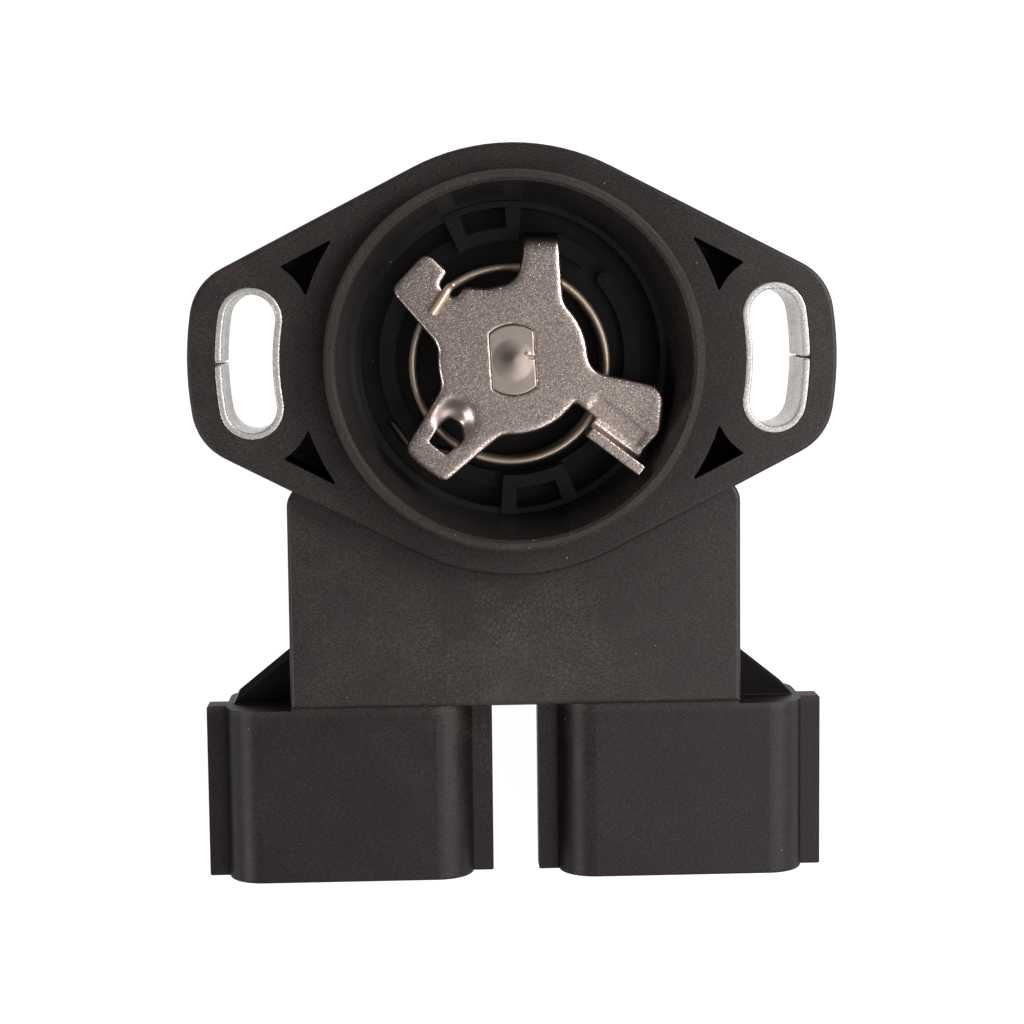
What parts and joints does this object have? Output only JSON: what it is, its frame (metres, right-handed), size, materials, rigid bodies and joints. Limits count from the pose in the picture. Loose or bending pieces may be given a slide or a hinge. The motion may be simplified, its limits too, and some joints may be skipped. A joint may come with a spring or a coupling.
{
  "type": "throttle position sensor",
  "caption": "Black moulded throttle position sensor with a slotted flange, a round spigot, a sprung lever in an open hub well and plug sockets below.",
  "frame": {"origin": "shaft axis on the flange's mounting face", "axes": "+Z out of the hub along the shaft, +Y away from the sockets, +X to the right seen from the hub"},
  "size_m": [0.0736, 0.0854, 0.0272],
  "materials": {
    "housing_plastic": "moulded, fine grain",
    "cover_plastic": "moulded, smooth",
    "sealing_resin": "poured, glossy",
    "sleeve_steel": "zinc plated",
    "bush_bronze": "sintered",
    "seal_rubber": "moulded",
    "washer_plastic": "smooth",
    "shaft_steel": "turned",
    "lever_steel": "tumbled satin",
    "carrier_plastic": "moulded",
    "contact_metal": "sprung sheet",
    "clip_steel": "sprung sheet",
    "board_laminate": "laminate",
    "spring_steel": "drawn wire",
    "terminal_tin": "tin plated"
  },
  "bodies": {
    "housing": {"housing": "housing_plastic", "left_slot_sleeve": "sleeve_steel", "right_slot_sleeve": "sleeve_steel", "shaft_bush": "bush_bronze", "shaft_seal": "seal_rubber", "resistor_board": "board_laminate", "rear_cover": "cover_plastic", "potting": "sealing_resin", "return_spring": "spring_steel", "terminal_1": "terminal_tin", "terminal_2": "terminal_tin", "terminal_3": "terminal_tin", "terminal_4": "terminal_tin", "terminal_5": "terminal_tin", "terminal_6": "terminal_tin"},
    "rotor": {"rotor_shaft": "shaft_steel", "lever": "lever_steel", "thrust_washer": "washer_plastic", "wiper_carrier": "carrier_plastic", "track_wiper": "contact_metal", "switch_wiper": "contact_metal", "retaining_clip": "clip_steel"}
  },
  "joints": [
    {"name": "lever_turn", "type": "hinge", "parent": "housing", "child": "rotor", "pos_m": [0, 0, 0], "axis": [0, 0, -1], "range_deg": [0, 130], "stiffness_Nm_per_rad": 0.006, "springref_deg": -57.3, "deforming": ["return_spring"]}
  ]
}
